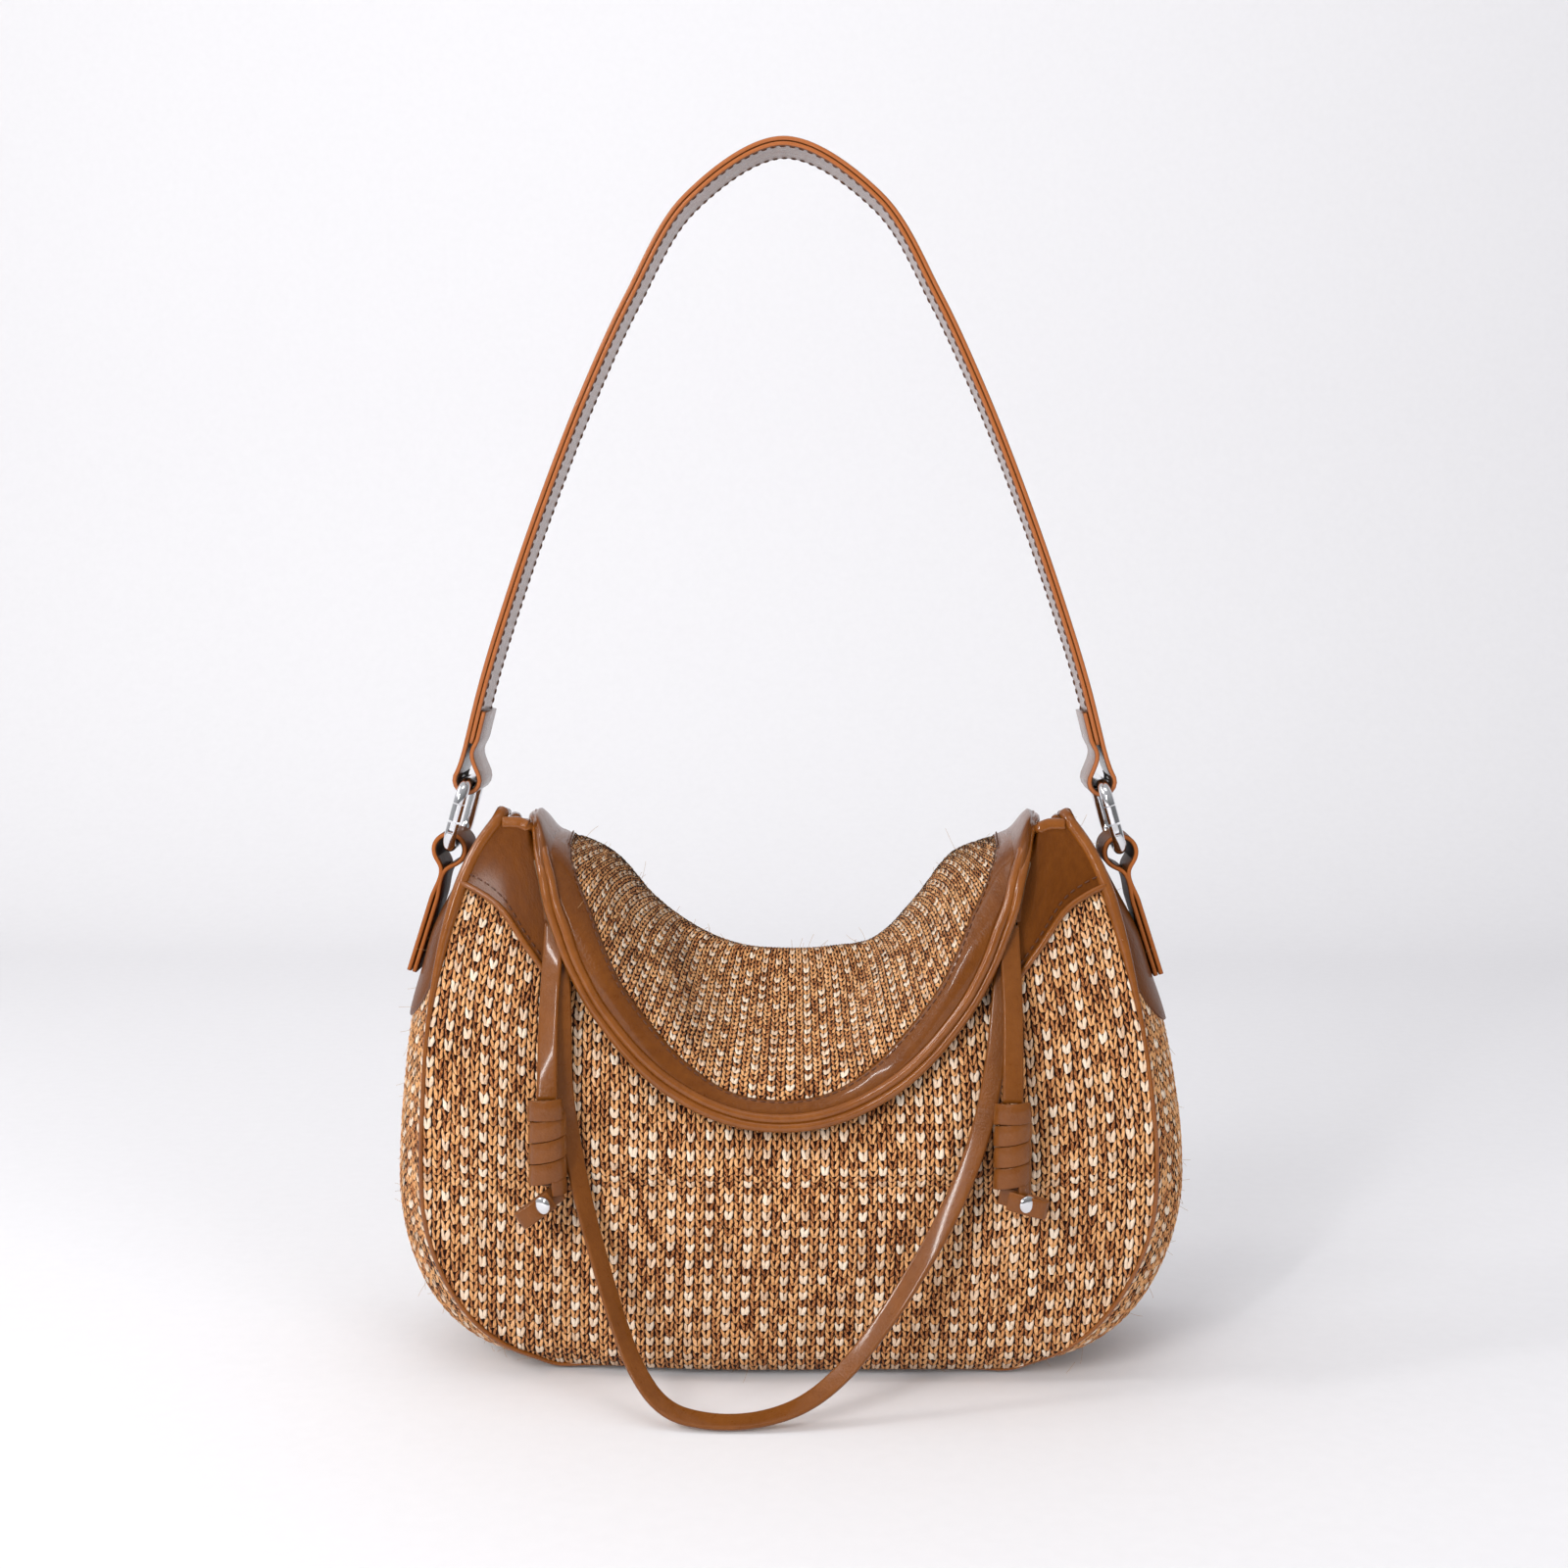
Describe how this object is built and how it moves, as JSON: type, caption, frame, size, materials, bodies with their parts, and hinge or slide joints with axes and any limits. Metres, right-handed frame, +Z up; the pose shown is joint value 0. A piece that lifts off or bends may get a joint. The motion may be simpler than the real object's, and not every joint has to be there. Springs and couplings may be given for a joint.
{
  "type": "hobo bag",
  "caption": "Slouchy shoulder bag of knitted straw with leather trim, a flap that lifts, a strap on metal rings and a hanging knotted lace.",
  "frame": {"origin": "on the floor under the middle of the bag's flat base", "axes": "+Z up, -Y towards the front with the flap and lace, +X to the right seen from the front"},
  "size_m": [0.33, 0.1576, 0.5045],
  "materials": {
    "knitted_straw": "open stockinette knit of flat straw yarn in tan, brown and cream",
    "trim_leather": "caramel brown leather, semi-gloss",
    "lace_leather": "thin leather lace, semi-gloss outside and suede inside",
    "cotton_lining": "plain woven cotton, matte",
    "stiffener_board": "matte board",
    "polished_metal": "polished nickel"
  },
  "bodies": {
    "bag": {"back_corner_patch_left": "trim_leather", "back_corner_patch_right": "trim_leather", "back_panel": "knitted_straw", "back_piping": "trim_leather", "base_board": "stiffener_board", "front_corner_patch_left": "trim_leather", "front_corner_patch_right": "trim_leather", "front_mouth_rim": "trim_leather", "front_panel": "knitted_straw", "front_piping": "trim_leather", "gusset_cap_left": "trim_leather", "gusset_cap_right": "trim_leather", "gusset_left": "knitted_straw", "gusset_right": "knitted_straw", "inner_pocket": "cotton_lining", "knot_rivet_left": "polished_metal", "knot_rivet_right": "polished_metal", "lace_keeper_left": "lace_leather", "lace_keeper_right": "lace_leather", "lace_knot_left": "lace_leather", "lace_knot_right": "lace_leather", "lace_loop": "lace_leather", "lace_tail_left": "lace_leather", "lace_tail_right": "lace_leather", "lining": "cotton_lining", "ring_tab_left": "trim_leather", "ring_tab_right": "trim_leather", "snap_socket": "polished_metal"},
    "flap": {"flap_band": "trim_leather", "flap_lining": "cotton_lining", "flap_panel": "knitted_straw", "flap_rim": "trim_leather", "snap_stud": "polished_metal"},
    "strap": {"strap_inner": "trim_leather", "strap_outer": "trim_leather"},
    "ring_left": {"gate_pin_left": "polished_metal", "gate_spring_left": "polished_metal", "ring_left": "polished_metal"},
    "ring_right": {"gate_pin_right": "polished_metal", "gate_spring_right": "polished_metal", "ring_right": "polished_metal"},
    "gate_left": {"ring_gate_left": "polished_metal"},
    "gate_right": {"ring_gate_right": "polished_metal"}
  },
  "joints": [
    {"name": "flap_open", "type": "hinge", "parent": "bag", "child": "flap", "pos_m": [0, 0.007, 0.226], "axis": [-1, 0, 0], "range_deg": [0, 150]},
    {"name": "strap_drop", "type": "hinge", "parent": "bag", "child": "strap", "pos_m": [0, 0, 0.23], "axis": [1, 0, 0], "range_deg": [-48, 48], "deforming": ["ring_tab_left", "ring_tab_right"]},
    {"name": "ring_left_sway", "type": "hinge", "parent": "strap", "child": "ring_left", "pos_m": [-0.13162, 0, 0.24274], "axis": [0, 1, 0], "range_deg": [-4, 4]},
    {"name": "ring_right_sway", "type": "hinge", "parent": "strap", "child": "ring_right", "pos_m": [0.13162, 0, 0.24274], "axis": [0, 1, 0], "range_deg": [-4, 4]},
    {"name": "gate_left_open", "type": "hinge", "parent": "ring_left", "child": "gate_left", "pos_m": [-0.13677, -0.02, 0.22476], "axis": [-0.9613, 0, 0.2756], "range_deg": [0, 14], "stiffness_Nm_per_rad": 0.01, "springref_deg": -11.46},
    {"name": "gate_right_open", "type": "hinge", "parent": "ring_right", "child": "gate_right", "pos_m": [0.13677, -0.02, 0.22476], "axis": [-0.9613, 0, -0.2756], "range_deg": [0, 14], "stiffness_Nm_per_rad": 0.01, "springref_deg": -11.46}
  ]
}
